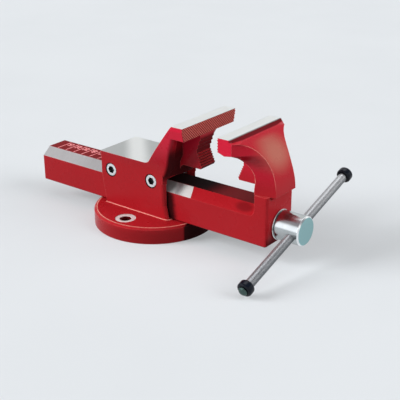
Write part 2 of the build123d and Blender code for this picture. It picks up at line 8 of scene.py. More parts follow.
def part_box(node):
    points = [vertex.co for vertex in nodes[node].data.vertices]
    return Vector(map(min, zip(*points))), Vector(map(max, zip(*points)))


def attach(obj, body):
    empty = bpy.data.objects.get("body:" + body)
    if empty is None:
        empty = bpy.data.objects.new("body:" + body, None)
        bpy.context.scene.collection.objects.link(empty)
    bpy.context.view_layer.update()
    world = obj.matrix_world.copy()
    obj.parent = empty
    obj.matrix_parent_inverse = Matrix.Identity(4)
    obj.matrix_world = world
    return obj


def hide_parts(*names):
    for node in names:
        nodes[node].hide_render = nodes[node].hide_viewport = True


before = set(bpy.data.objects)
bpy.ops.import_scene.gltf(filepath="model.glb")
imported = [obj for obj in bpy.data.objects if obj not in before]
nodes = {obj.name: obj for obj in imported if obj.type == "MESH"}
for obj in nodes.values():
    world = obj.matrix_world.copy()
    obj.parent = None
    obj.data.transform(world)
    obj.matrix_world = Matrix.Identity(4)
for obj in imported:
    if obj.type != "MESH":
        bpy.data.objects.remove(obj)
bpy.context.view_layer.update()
MM = 0.001


# ---------------------------------------------------------------- places taken from the frame
def box_middle(name):
    low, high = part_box(name)
    return (low + high) / 2


body_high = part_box("fixed_body")[1]
slide_low, slide_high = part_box("sliding_jaw")
bumper_low, bumper_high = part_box("handle_bumper_near")
screw_low, screw_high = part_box("adjusting_screw_near_rear")
JAW_TOP = body_high.z
FIXED_FACE_X = body_high.x
HEAD_END_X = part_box("spindle")[1].x
BAR_REAR_X = slide_low.x
SCREW_Z = (screw_low.z + screw_high.z) / 2
SCREW_FACE_Y = -screw_low.y
SCREW_RADIUS = (screw_high.z - screw_low.z) / 2
SCREWS_X = [box_middle(f"adjusting_screw_near_{end}").x for end in ("rear", "front")]
NEAR_END = box_middle("handle_bumper_near")
FAR_END = box_middle("handle_bumper_far")
HANDLE_WAY = (FAR_END - NEAR_END).normalized()

# ---------------------------------------------------------------- sizes of the part, in metres
BAR_TOP = 78 * MM
BAR_TOP_HALF = 16.5 * MM
BAR_HALF = 31 * MM
GUIDE_FOOT = 66 * MM
GUIDE_BARE_TOP_X = 87 * MM
GUIDE_BARE_SIDE_X = 92 * MM
JAW_FOOT = 157.5 * MM
JAW_HALF = 60 * MM
HEAD_BEVEL_FOOT = 171.5 * MM
ANVIL_TOP = 105 * MM
ANVIL_BLEND_TOP = 112 * MM
ANVIL_FRONT = 28 * MM
BASE_TOP = 24 * MM
BASE_RIM_RADII = (85.8 * MM, 87.0 * MM)
BOLT_Y = 66 * MM
BOLT_RADIUS = 8.5 * MM
SPOT_FACE_RADIUS = 15 * MM
MOVING_FACE_TO_FRONT = 68.9 * MM  # from the moving gripping face to the block's front
MOVING_FACE_X = slide_high.x - MOVING_FACE_TO_FRONT
SERRATION_DEPTH = 1.5 * MM
SPINDLE_Z = 51 * MM
HEX_RADIUS = 5.9 * MM
# height of the painted highlight on the shield
SHIELD_GLOW_Z = 151 * MM
# reach of the painted shade in inner corners
CREVICE_SHADE_REACH = 7 * MM
ENAMEL_ROUNDING = 0.9 * MM
SOFT = 0.1 * MM  # how softly one finish meets the next

# ---------------------------------------------------------------- colours
RED = (0.385, 0.0110, 0.0170)
RED_PATCH = (0.355, 0.0095, 0.0145)
# painted light: a lighter red high up on faces turned to the sides
RED_LIT_HIGH = (0.610, 0.0125, 0.0400)
# painted shade: a darker red low on the base
RED_BASE_SHADE = (0.300, 0.0090, 0.0130)
# painted highlight along the edges
RED_EDGE_HIGHLIGHT = (0.700, 0.1500, 0.1400)
# painted highlight along the base's rim, the housing's foot and the shield's edges
RED_LINE_HIGHLIGHT = (0.930, 0.4300, 0.3500)
# painted highlight on the shield
RED_PAINTED_GLOW = (0.450, 0.1480, 0.1080)
# painted shade: black where shade falls
PAINTED_SHADE_BLACK = (0.008, 0.0020, 0.0025)
BARE_STEEL = (0.76, 0.78, 0.77)
MATT_STEEL = (0.74, 0.72, 0.71)
# the duller steel under the painted sheen
STEEL_SHADE = (0.44, 0.46, 0.455)
TOOTH_CREST = (0.820, 0.195, 0.165)
# valleys of the serration, painted dark as shade
TOOTH_VALLEY_SHADE = (0.100, 0.0025, 0.0045)
HEAD_CLEAN, HEAD_DULL = (0.54, 0.575, 0.58), (0.44, 0.47, 0.475)
HEAD_CHAMFER = (0.93, 0.95, 0.96)
HEAD_END = (0.36, 0.61, 0.63)
RING_CLEAN, RING_DULL = (0.78, 0.79, 0.79), (0.62, 0.63, 0.63)
ZINC_CLEAN, ZINC_DULL = (0.88, 0.89, 0.90), (0.72, 0.73, 0.74)
# hexagon sockets, painted black as shade
SOCKET_SHADE = (0.004, 0.006, 0.008)
BLACKED, BLACKED_DULL = (0.10, 0.10, 0.11), (0.05, 0.05, 0.055)
GIB_CLEAN, GIB_DULL = (0.50, 0.51, 0.51), (0.34, 0.35, 0.35)
CAST_CLEAN, CAST_DULL = (0.20, 0.20, 0.21), (0.12, 0.12, 0.13)
# painted light and shade on the rod: lighter at the far end, darker at the near end and below
ROD_NEAR_SHADED_CLEAN, ROD_NEAR_SHADED_DULL = (0.38, 0.39, 0.405), (0.20, 0.21, 0.225)
ROD_FAR_LIT_CLEAN, ROD_FAR_LIT_DULL = (0.54, 0.55, 0.565), (0.34, 0.35, 0.365)
ROD_SHADE_BELOW = (0.05, 0.055, 0.06)
ROD_END = (0.070, 0.110, 0.100)
RUBBER, RUBBER_BLOOM = (0.0012, 0.0025, 0.0070), (0.003, 0.006, 0.013)
SCALE_PALE, SCALE_WORN = (0.86, 0.30, 0.31), (0.66, 0.12, 0.13)


# ---------------------------------------------------------------- node helpers
class Nodes:
    """A node tree with short calls that add nodes to it."""

    def __init__(self, tree):
        self.tree = tree

    def plug(self, socket, value):
        if isinstance(value, bpy.types.NodeSocket):
            self.tree.links.new(value, socket)
        else:
            socket.default_value = value

    def add(self, kind, inputs=(), **settings):
        node = self.tree.nodes.new(kind)
        for key, value in settings.items():
            setattr(node, key, value)
        for key, value in dict(inputs).items():
            self.plug(node.inputs[key], value)
        return node

    def math(self, operation, a, b=0.0, c=0.0):
        node = self.add("ShaderNodeMath", operation=operation)
        for socket, value in zip(node.inputs, (a, b, c)):
            self.plug(socket, value)
        return node.outputs[0]

    def place(self):
        """Object coordinates, and their x, y and z."""
        coordinate = self.add("ShaderNodeTexCoord")
        split = self.add("ShaderNodeSeparateXYZ", {"Vector": coordinate.outputs["Object"]})
        return coordinate.outputs["Object"], split.outputs

    def facing(self):
        """x, y and z of the surface normal, in object coordinates."""
        coordinate = self.add("ShaderNodeTexCoord")
        split = self.add("ShaderNodeSeparateXYZ", {"Vector": coordinate.outputs["Normal"]})
        return split.outputs

    def noise(self, scale, detail, vector=None):
        """Noise over vector, or over the piece's own box where none is given."""
        node = self.add("ShaderNodeTexNoise", {"Scale": scale, "Detail": detail})
        if vector is not None:
            self.plug(node.inputs["Vector"], vector)
        return node.outputs["Fac"]

    def stretch(self, vector, scale):
        node = self.add("ShaderNodeMapping", {"Vector": vector, "Scale": scale})
        return node.outputs["Vector"]

    def step(self, value, low, high, start=0.0, end=1.0):
        """Smooth change from start to end as value goes from low to high."""
        node = self.add("ShaderNodeMapRange", interpolation_type="SMOOTHSTEP", clamp=True)
        keys = ("Value", "From Min", "From Max", "To Min", "To Max")
        for key, given in zip(keys, (value, low, high, start, end)):
            self.plug(node.inputs[key], given)
        return node.outputs["Result"]

    def inside(self, value, low, high, soft=SOFT):
        """1 where value is between low and high."""
        rise = self.step(value, low - soft, low + soft)
        fall = self.step(value, high - soft, high + soft, 1.0, 0.0)
        return self.math("MULTIPLY", rise, fall)

    def within(self, value, limit, soft=SOFT):
        """1 where value is under limit."""
        return self.step(value, limit - soft, limit + soft, 1.0, 0.0)

    def product(self, first, *others):
        for other in others:
            first = self.math("MULTIPLY", first, other)
        return first

    def union(self, first, *others):
        for other in others:
            first = self.math("MAXIMUM", first, other)
        return first

    def minus(self, a, b):
        return self.math("SUBTRACT", a, b)

    def absolute(self, value):
        return self.math("ABSOLUTE", value)

    def distance(self, a, b):
        """Length of the vector whose parts are a and b."""
        return self.math("SQRT", self.math("ADD", self.product(a, a), self.product(b, b)))

    def mix_node(self, kind, places, output, values):
        node = self.add("ShaderNodeMix", data_type=kind)
        for place, value in zip(places, values):
            value = (*value, 1.0) if isinstance(value, tuple) else value
            self.plug(node.inputs[place], value)
        return node.outputs[output]

    def mix(self, factor, a, b):
        """Colour a, or b where factor is 1."""
        return self.mix_node("RGBA", (0, 6, 7), 2, (factor, a, b))

    def blend(self, factor, a, b):
        """Number a, or b where factor is 1."""
        return self.mix_node("FLOAT", (0, 2, 3), 0, (factor, a, b))

    def blend_normal(self, factor, a, b):
        return self.mix_node("VECTOR", (0, 4, 5), 1, (factor, a, b))

    def bevel(self, radius):
        return self.add("ShaderNodeBevel", {"Radius": radius}, samples=6).outputs["Normal"]

    def own_normal(self):
        return self.add("ShaderNodeNewGeometry").outputs["Normal"]

    def likeness(self, a, b):
        """Cosine of the angle between two directions of length 1."""
        node = self.add("ShaderNodeVectorMath", {0: a, 1: b}, operation="DOT_PRODUCT")
        return node.outputs["Value"]

    def edge(self, rounded):
        """1 along the edges, where the rounded normal leaves the face's own."""
        return self.step(self.likeness(rounded, self.own_normal()), 0.93, 0.995, 1.0, 0.0)

    def crevice_shade(self, reach):
        """Painted shade: 0.74 deep in grooves and inner corners of the piece, from ambient
        occlusion.
        """
        node = self.add(
            "ShaderNodeAmbientOcclusion", {"Distance": reach}, samples=8, only_local=True
        )
        return self.step(node.outputs["AO"], 0.30, 0.80, 0.74, 0.0)

    def bump(self, height, distance, strength=1.0, normal=None):
        node = self.add(
            "ShaderNodeBump", {"Height": height, "Distance": distance, "Strength": strength}
        )
        if normal is not None:
            self.plug(node.inputs["Normal"], normal)
        return node.outputs["Normal"]


class Finish(Nodes):
    """Node tree of a new material with one Principled shader."""

    def __init__(self, name):
        self.material = bpy.data.materials.new(name)
        self.material.use_nodes = True
        super().__init__(self.material.node_tree)
        self.bsdf = self.tree.nodes["Principled BSDF"]

    def set(self, **inputs):
        """Give the Principled shader its values: Base_Color for Base Color, and so on."""
        for key, value in inputs.items():
            value = (*value, 1.0) if isinstance(value, tuple) and len(value) == 3 else value
            self.plug(self.bsdf.inputs[key.replace("_", " ")], value)


class Spot:
    """Where a point of a piece lies and which way it faces, in the part's own axes."""

    def __init__(self, shader):
        self.place, (self.x, self.y, self.z) = shader.place()
        self.facing_x, self.facing_y, self.facing_z = shader.facing()
        self.side = shader.absolute(self.y)


def off_screws(shader, at):
    """Distances from the axes of the adjusting screws, one for each pair across the body."""
    off_z = shader.minus(at.z, SCREW_Z)
    return [shader.distance(shader.minus(at.x, screw_x), off_z) for screw_x in SCREWS_X]


def off_bolts(shader, at):
    """Distance from the axis of the nearer bolt hole."""
    return shader.distance(at.x, shader.minus(at.side, BOLT_Y))


# ---------------------------------------------------------------- areas of the fixed body
# Each area is a number from 0 to 1 over the piece, with positions in the part's frame.
def jaw_top(shader, at):
    """The ground top of either jaw."""
    return shader.step(at.z, JAW_TOP - 0.3 * MM, JAW_TOP - 0.1 * MM)


def bare_on_body(shader, at):
    """Jaw top, anvil with the start of its fillet, spot faces of the bolt holes, and underside."""
    anvil = shader.product(
        shader.inside(at.z, ANVIL_TOP - 0.2 * MM, ANVIL_BLEND_TOP),
        shader.within(at.x, ANVIL_FRONT),
        shader.step(at.facing_z, 0.25, 0.35),
    )
    spot_faces = shader.product(
        shader.within(off_bolts(shader, at), SPOT_FACE_RADIUS),
        shader.inside(at.z, BASE_TOP - 1.2 * MM, BASE_TOP + 0.3 * MM),
    )
    underside = shader.within(at.z, 0.3 * MM)
    return shader.union(jaw_top(shader, at), anvil, spot_faces, underside)


def painted_sheen_on_body(shader, at):
    """Ground anvil: a painted sheen, bright in a band across it and along its fillet, with duller
    steel between.
    """
    slanted = shader.math("MULTIPLY_ADD", at.y, 0.93, at.x)
    band = shader.inside(slanted, -50 * MM, -14 * MM, 14 * MM)
    fillet = shader.step(at.x, 14 * MM, 20 * MM)
    jaw = shader.step(at.x, 60 * MM, 62 * MM)
    return shader.union(band, fillet, jaw)


def matt_on_body(shader, at):
    """Spot faces, left matt by the cutter."""
    return shader.within(at.z, BASE_TOP + 1 * MM)


def screw_seat_shade(shader, at):
    """Painted shade in rings round the seats of the adjusting screws."""
    rings = [
        shader.inside(off, SCREW_RADIUS - 1 * MM, SCREW_RADIUS + 0.7 * MM, 0.3 * MM)
        for off in off_screws(shader, at)
    ]
    on_side = shader.step(at.side, SCREW_FACE_Y - 2 * MM, SCREW_FACE_Y - 1 * MM)
    return shader.product(shader.union(*rings), on_side)


def arm_recess_shade(shader, at):
    """Front of the arm over the mouth, between its cheeks: painted shade where the photo has deep
    shadow.
    """
    return shader.product(
        shader.inside(at.x, 44 * MM, 76 * MM, 4 * MM),
        shader.step(at.side, 46 * MM, 58 * MM, 1.0, 0.0),
        shader.step(at.z, 74 * MM, 92 * MM),
        shader.step(at.z, 124 * MM, 150 * MM, 1.0, 0.25),
        shader.step(at.facing_x, 0.2, 0.7, 0.0, 0.88),
    )


def pipe_teeth_shade(shader, at):
    """Painted shade over the teeth of the fixed pipe jaw, on faces turned towards the moving jaw.
    """
    return shader.product(
        shader.inside(at.x, 78 * MM, 104 * MM, 5 * MM),
        shader.within(at.side, 18 * MM),
        shader.inside(at.z, 104 * MM, 152 * MM, 3 * MM),
        shader.step(at.facing_x, 0.3, 0.8, 0.0, 0.72),
    )


def base_bar_shadow(shader, at):
    """Painted shadow of the bar on the front of the base, where it lies in the photo."""
    return shader.product(
        shader.step(at.x, 82.4 * MM, 84 * MM, 0.0, 0.95), shader.within(at.z, BASE_TOP + 1 * MM)
    )


def bolt_hole_shade(shader, at):
    """Painted shade on the walls of the bolt holes."""
    return shader.product(
        shader.within(off_bolts(shader, at), BOLT_RADIUS + 0.3 * MM),
        shader.within(at.z, BASE_TOP - 1.5 * MM, 0.6 * MM),
        0.75,
    )


def painted_shade_on_body(shader, at):
    """All the painted shade on the body, but for its inner corners."""
    places = (screw_seat_shade, arm_recess_shade, pipe_teeth_shade, base_bar_shadow, bolt_hole_shade)
    return shader.union(*[place(shader, at) for place in places])


def line_highlight_on_body(shader, at, edge):
    """Painted highlights along the rounded rim of the base and the fillet at the housing's foot."""
    rim = shader.product(
        shader.inside(shader.distance(at.x, at.y), *BASE_RIM_RADII, 0.5 * MM),
        shader.inside(at.z, 22 * MM, 24.5 * MM),
    )
    foot = shader.product(
        shader.inside(at.z, BASE_TOP, 28 * MM), shader.inside(at.facing_z, 0.60, 0.80, 0.10)
    )
    return shader.union(rim, foot)


def edge_highlight_on_body(shader, at):
    """Painted edge highlights: stronger on the jaw and arm than lower down."""
    return shader.step(at.z, 60 * MM, 110 * MM, 0.55, 1.0)


# ---------------------------------------------------------------- areas of the sliding jaw
def bare_on_slide(shader, at):
    """Jaw top, and the guide faces as far as they were milled."""
    run, rise = BAR_HALF - BAR_TOP_HALF, BAR_TOP - GUIDE_FOOT
    slope = hypot(run, rise)
    across = shader.math("MULTIPLY", shader.minus(at.side, BAR_HALF), rise / slope)
    height = shader.math("MULTIPLY", shader.minus(at.z, GUIDE_FOOT), run / slope)
    off_plane = shader.absolute(shader.math("ADD", across, height))
    slant = (GUIDE_BARE_SIDE_X - GUIDE_BARE_TOP_X) / run
    end_x = shader.math(
        "MULTIPLY_ADD", shader.minus(at.side, BAR_TOP_HALF), slant, GUIDE_BARE_TOP_X
    )
    guide = shader.product(
        shader.within(off_plane, 0.25 * MM),
        shader.step(shader.minus(end_x, at.x), -0.4 * MM, 0.4 * MM),
        shader.inside(at.z, GUIDE_FOOT + 0.2 * MM, BAR_TOP - 0.2 * MM),
    )
    return shader.union(jaw_top(shader, at), guide)


def sheen_on_slide(shader, at):
    """Guide faces and jaw top: bright, a little duller where the bar runs in the housing."""
    rear = shader.step(at.x, -160 * MM, -70 * MM, 0.80, 0.55)
    return shader.union(rear, shader.step(at.x, 50 * MM, 60 * MM))


def matt_on_slide(shader, at):
    """Front ends of the guide faces, outside the housing."""
    return shader.product(
        shader.step(at.x, 62 * MM, 84 * MM), shader.within(at.z, BAR_TOP + 1 * MM)
    )


def bar_top_shade(shader, at):
    """Painted shade on the bar's flat top, darkest from the mouth on and lighter at both ends."""
    return shader.product(
        shader.inside(at.z, BAR_TOP - 0.15 * MM, BAR_TOP + 0.5 * MM),
        shader.step(at.facing_z, 0.8, 0.9),
        shader.step(at.x, -40 * MM, 40 * MM, 0.58, 1.0),
        shader.step(at.x, 98 * MM, 140 * MM, 1.0, 0.64),
    )


def jaw_bevel_dark_reflection(shader, at):
    """Painted dark reflection on the bevel behind the jaw's top."""
    return shader.product(
        shader.step(at.z, HEAD_BEVEL_FOOT + 1.5 * MM, HEAD_BEVEL_FOOT + 2.5 * MM),
        shader.step(at.x, 176 * MM, 178 * MM),
        0.72,
    )


def guide_run_out_shade(shader, at):
    """Painted shade of a shallow scoop at the front end of the painted guide, next to the block."""
    middle_x, middle_z, flatness = 178 * MM, 73 * MM, 0.34
    along = shader.math("MULTIPLY", shader.minus(at.x, middle_x), flatness)
    scoop = shader.within(
        shader.distance(along, shader.minus(at.z, middle_z)), 4.5 * MM, 1.8 * MM
    )
    return shader.product(scoop, shader.inside(at.facing_z, 0.6, 0.9, 0.05), 0.42)


def block_foot_shadow(shader, at):
    """Painted shadow of the spindle's head on the lower part of the block's front face."""
    return shader.product(
        shader.step(at.x, 218 * MM, 219 * MM), shader.step(at.z, 30 * MM, 42 * MM, 0.6, 0.0)
    )


def mouth_shadow(shader, at):
    """Painted shadow of the housing's mouth on the sides of the bar: darkest by the mouth, fading
    behind, with a ragged edge.
    """
    leaning = shader.math("MULTIPLY_ADD", at.z, 0.12, at.x)
    ragged = shader.math("MULTIPLY_ADD", shader.noise(60.0, 2.0), 5 * MM, leaning)
    return shader.product(
        shader.step(ragged, 6 * MM, 56 * MM),
        shader.step(ragged, 66 * MM, 77 * MM, 0.94, 0.0),
        shader.step(at.z, 64 * MM, 67 * MM, 1.0, 0.5),
    )


def painted_shade_on_slide(shader, at):
    """All the painted shade and painted dark reflection on the sliding jaw, but for its inner
    corners.
    """
    places = (bar_top_shade, jaw_bevel_dark_reflection, guide_run_out_shade, block_foot_shadow, mouth_shadow)
    return shader.union(*[place(shader, at) for place in places])


def line_highlight_on_slide(shader, at, edge):
    """Painted highlights along the long near and far edges of the shield."""
    return shader.product(
        shader.step(edge, 0.05, 0.6),
        shader.step(at.x, 186 * MM, 192 * MM),
        shader.step(at.z, 104 * MM, 116 * MM),
        shader.step(at.z, 166 * MM, 170 * MM, 1.0, 0.0),
    )


def edge_highlight_on_slide(shader, at):
    """Painted edge highlights: stronger on the shield and jaw than on the bar."""
    return shader.step(at.z, 60 * MM, 112 * MM, 0.22, 1.0)


def painted_glow_on_slide(shader, at):
    """Painted highlight: a warmer, paler red glow on the upper middle of the shield."""
    across = shader.math("MULTIPLY", at.y, 0.75)
    from_middle = shader.distance(across, shader.minus(at.z, SHIELD_GLOW_Z))
    return shader.product(
        shader.step(from_middle, 4 * MM, 33 * MM, 0.9, 0.0), shader.step(at.x, 188 * MM, 196 * MM)
    )


BODY_AREAS = {
    "bare": bare_on_body, "sheen": painted_sheen_on_body, "matt": matt_on_body,
    "painted_shade": painted_shade_on_body, "line_highlight": line_highlight_on_body, "edges": edge_highlight_on_body,
}
SLIDE_AREAS = {
    "bare": bare_on_slide, "sheen": sheen_on_slide, "matt": matt_on_slide,
    "painted_shade": painted_shade_on_slide, "line_highlight": line_highlight_on_slide, "edges": edge_highlight_on_slide,
    "painted_glow": painted_glow_on_slide,
}


# ---------------------------------------------------------------- enamel and bare metal
def enamel_colour(shader, at, areas, painted_shade, rounded):
    """Red enamel with painted light and shade: lighter high on the jaws, darker low on the base, a
    warm glow on the shield, highlights along the edges and rims, black in recesses and corners.
    """
    cloud = shader.noise(9.0, 3.0, at.place)
    paint = shader.mix(shader.step(cloud, 0.3, 0.7), RED_PATCH, RED)
    # painted light: lighter red high up on faces turned to the sides
    sideways = shader.step(shader.absolute(at.facing_y), 0.5, 0.9, 0.35, 1.0)
    high = shader.product(shader.step(at.z, 90 * MM, 160 * MM), sideways)
    paint = shader.mix(high, paint, RED_LIT_HIGH)
    # painted shade: darker red low on the base
    paint = shader.mix(shader.step(at.z, 14 * MM, 23 * MM, 1.0, 0.0), paint, RED_BASE_SHADE)
    # painted highlight: warm glow on the shield
    if "painted_glow" in areas:
        paint = shader.mix(areas["painted_glow"](shader, at), paint, RED_PAINTED_GLOW)
    # painted shade: black where shade falls
    paint = shader.mix(painted_shade, paint, PAINTED_SHADE_BLACK)
    # painted edge highlights, broken by chips of wear
    edge = shader.edge(rounded)
    chips = shader.step(shader.noise(260.0, 3.0, at.place), 0.35, 0.65, 0.45, 0.95)
    clean = shader.step(painted_shade, 0.1, 0.5, 1.0, 0.3)
    edge_highlight = shader.product(edge, chips, areas["edges"](shader, at), clean)
    paint = shader.mix(edge_highlight, paint, RED_EDGE_HIGHLIGHT)
    # painted highlights along the rims and the shield's edges
    broken = shader.step(chips, 0.45, 0.95, 0.7, 1.0)
    line_highlight = shader.product(areas["line_highlight"](shader, at, edge), broken)
    return shader.mix(line_highlight, paint, RED_LINE_HIGHLIGHT)


def steel_colour(shader, at, areas, painted_shade, matt, grain):
    """Bare steel, milled across the run of each face, with a painted sheen and black painted shade.
    """
    uneven = shader.minus(grain, 0.5)
    # milling grain over a painted sheen
    grain_and_sheen = shader.math("MULTIPLY_ADD", uneven, 0.45, areas["sheen"](shader, at))
    steel = shader.mix(grain_and_sheen, STEEL_SHADE, BARE_STEEL)
    steel = shader.mix(matt, steel, MATT_STEEL)
    # painted shade on the bare steel as well
    return shader.mix(painted_shade, steel, PAINTED_SHADE_BLACK)


def enamel(name, areas, face_x, face_way):
    """Gloss red enamel over a forging, with milled areas left bare and a serrated gripping face.

    The crests of the serration lie at face_x, and face_way is the sign of X into the metal.
    """
    shader = Finish(name)
    at = Spot(shader)
    bare = areas["bare"](shader, at)
    matt = areas["matt"](shader, at)
    rounded = shader.bevel(ENAMEL_ROUNDING)
    grain = shader.noise(1.0, 3.0, shader.stretch(at.place, (650.0, 45.0, 45.0)))
    # painted shade in the inner corners, weaker on the shield
    less_on_shield = shader.step(at.x, 190 * MM, 205 * MM, 1.0, 0.35)
    corner_shade = shader.product(shader.crevice_shade(CREVICE_SHADE_REACH), less_on_shield)
    painted_shade = shader.union(areas["painted_shade"](shader, at), corner_shade)
    paint = enamel_colour(shader, at, areas, painted_shade, rounded)
    steel = steel_colour(shader, at, areas, painted_shade, matt, grain)

    # serrated gripping face: worn crests over valleys painted dark as shade
    depth = shader.math("MULTIPLY", shader.minus(at.x, face_x), face_way)
    teeth = shader.product(
        shader.inside(depth, -0.2 * MM, SERRATION_DEPTH + 0.1 * MM),
        shader.inside(at.z, JAW_FOOT, JAW_TOP - 0.15 * MM),
        shader.within(at.side, JAW_HALF),
    )
    tooth = shader.mix(shader.step(depth, 0.45 * MM, 1.25 * MM), TOOTH_CREST, TOOTH_VALLEY_SHADE)

    # relief: forging hollows and orange peel in the enamel, tool marks in the steel
    paint_rough = shader.step(shader.noise(35.0, 4.0, at.place), 0.25, 0.75, 0.24, 0.34)
    steel_rough = shader.step(grain, 0.2, 0.8, 0.38, 0.50)
    rough = shader.blend(painted_shade, shader.blend(bare, paint_rough, steel_rough), 0.9)
    paint_normal = shader.bump(shader.noise(70.0, 3.0, at.place), 0.5 * MM, 0.16, rounded)
    paint_normal = shader.bump(shader.noise(520.0, 1.0, at.place), 0.1 * MM, 0.10, paint_normal)
    steel_normal = shader.bump(grain, 0.04 * MM, 0.2, rounded)
    normal = shader.blend_normal(bare, paint_normal, steel_normal)
    shader.set(
        Base_Color=shader.mix(teeth, shader.mix(bare, paint, steel), tooth),
        Metallic=shader.product(
            bare, shader.minus(1.0, teeth), shader.minus(1.0, painted_shade),
            shader.step(matt, 0.0, 1.0, 1.0, 0.3),
        ),
        Roughness=shader.blend(teeth, rough, 0.5),
        Normal=shader.blend_normal(teeth, normal, shader.own_normal()),
        Specular_IOR_Level=0.3,
        IOR=1.3,
    )
    return shader.material


# ---------------------------------------------------------------- other metals and rubber
def turned_steel(name, clean, dull, roughness, ring_pitch, is_head=False):
    """Bright steel turned about the spindle's axis: rings round it and across its end faces."""
    shader = Finish(name)
    place, (x, y, z) = shader.place()
    along = shader.math("ADD", x, shader.distance(y, shader.minus(z, SPINDLE_Z)))
    rings = shader.add(
        "ShaderNodeTexNoise", {"Scale": 1.0 / ring_pitch, "Detail": 3.0}, noise_dimensions="1D"
    )
    shader.plug(rings.inputs["W"], along)
    cloud = shader.noise(60.0, 3.0, place)
    base = shader.mix(shader.step(cloud, 0.3, 0.75), dull, clean)
    if is_head:
        chamfer = shader.inside(x, HEAD_END_X - 2.4 * MM, HEAD_END_X - 0.2 * MM)
        base = shader.mix(chamfer, base, HEAD_CHAMFER)
        end = shader.step(x, HEAD_END_X - 0.4 * MM, HEAD_END_X - 0.2 * MM)
        base = shader.mix(end, base, HEAD_END)
    shader.set(
        Base_Color=base,
        Metallic=1.0,
        Roughness=shader.step(cloud, 0.2, 0.8, *roughness),
        Normal=shader.bump(rings.outputs["Fac"], 0.03 * MM, 0.35, shader.bevel(0.35 * MM)),
    )
    return shader.material


def plain_steel(name, clean, dull, roughness, density, scratch=0.3):
    """Steel with a fine drawn or ground grain, whose density is given along each axis."""
    shader = Finish(name)
    place, _ = shader.place()
    grain = shader.noise(1.0, 4.0, shader.stretch(place, density))
    cloud = shader.noise(45.0, 3.0, place)
    shader.set(
        Base_Color=shader.mix(shader.step(cloud, 0.3, 0.7), dull, clean),
        Metallic=1.0,
        Roughness=shader.step(grain, 0.2, 0.8, *roughness),
        Normal=shader.bump(grain, 0.04 * MM, scratch, shader.bevel(0.3 * MM)),
    )
    return shader.material


def socket_screw(name):
    """Zinc plated screw, its hexagon socket painted black as shade."""
    shader = Finish(name)
    at = Spot(shader)
    sockets = [shader.within(off, HEX_RADIUS, 0.05 * MM) for off in off_screws(shader, at)]
    sunk = shader.step(at.side, SCREW_FACE_Y - 0.3 * MM, SCREW_FACE_Y - 0.1 * MM, 1.0, 0.0)
    socket = shader.product(shader.union(*sockets), sunk)
    cloud = shader.noise(300.0, 3.0, at.place)
    plate = shader.mix(shader.step(cloud, 0.3, 0.7), ZINC_DULL, ZINC_CLEAN)
    shader.set(
        Base_Color=shader.mix(socket, plate, SOCKET_SHADE),
        Metallic=shader.minus(1.0, socket),
        Roughness=shader.blend(socket, shader.step(cloud, 0.2, 0.8, 0.22, 0.36), 0.45),
        Normal=shader.bump(cloud, 0.03 * MM, 0.3, shader.bevel(0.4 * MM)),
    )
    return shader.material


def drawn_rod(name):
    """Plated round bar with a drawn grain along it, painted darker below and towards the near end
    as shade.
    """
    shader = Finish(name)
    at = Spot(shader)
    middle = (FAR_END + NEAR_END) / 2
    half = (FAR_END - NEAR_END).length / 2
    along = shader.math(
        "ADD",
        shader.math("MULTIPLY", at.y, HANDLE_WAY.y),
        shader.math("MULTIPLY", at.z, HANDLE_WAY.z),
    )
    off_middle = shader.absolute(shader.minus(along, middle.dot(HANDLE_WAY)))
    ends = shader.step(off_middle, half + 1 * MM, half + 2 * MM)
    grain = shader.noise(1.0, 4.0, shader.stretch(at.place, (900.0, 60.0, 190.0)))
    cloud = shader.noise(700.0, 3.0, at.place)
    # painted light: lighter towards the far end
    farther_lit = shader.step(at.y, -70 * MM, 90 * MM)
    dull = shader.mix(farther_lit, ROD_NEAR_SHADED_DULL, ROD_FAR_LIT_DULL)
    clean = shader.mix(farther_lit, ROD_NEAR_SHADED_CLEAN, ROD_FAR_LIT_CLEAN)
    plate = shader.mix(shader.step(cloud, 0.3, 0.7), dull, clean)
    # painted shade: darker on the underside
    plate = shader.mix(shader.step(at.facing_z, -0.1, 0.8, 0.75, 0.0), plate, ROD_SHADE_BELOW)
    shader.set(
        Base_Color=shader.mix(ends, plate, ROD_END),
        Metallic=shader.math("MULTIPLY_ADD", ends, 0.4, 0.6),
        Roughness=shader.step(grain, 0.2, 0.8, 0.24, 0.34),
        Normal=shader.bump(grain, 0.03 * MM, 0.3),
    )
    return shader.material


def rubber(name):
    shader = Finish(name)
    place, _ = shader.place()
    pores = shader.noise(900.0, 2.0, place)
    bloom = shader.noise(80.0, 3.0, place)
    shader.set(
        Base_Color=shader.mix(shader.step(bloom, 0.3, 0.8), RUBBER, RUBBER_BLOOM),
        Roughness=shader.step(bloom, 0.2, 0.8, 0.16, 0.26),
        Specular_IOR_Level=0.22,
        Normal=shader.bump(pores, 0.06 * MM, 0.25),
    )
    return shader.material


def scale_enamel(name):
    """Pale enamel of the scale, a little worn."""
    shader = Finish(name)
    place, _ = shader.place()
    wear = shader.step(shader.noise(420.0, 3.0, place), 0.42, 0.68)
    shader.set(
        Base_Color=shader.mix(wear, SCALE_PALE, SCALE_WORN),
        Roughness=shader.blend(wear, 0.4, 0.55),
        Specular_IOR_Level=0.3,
    )
    return shader.material


def dress(material, *names):
    for name in names:
        slots = nodes[name].data.materials
        slots.clear()
        slots.append(material)


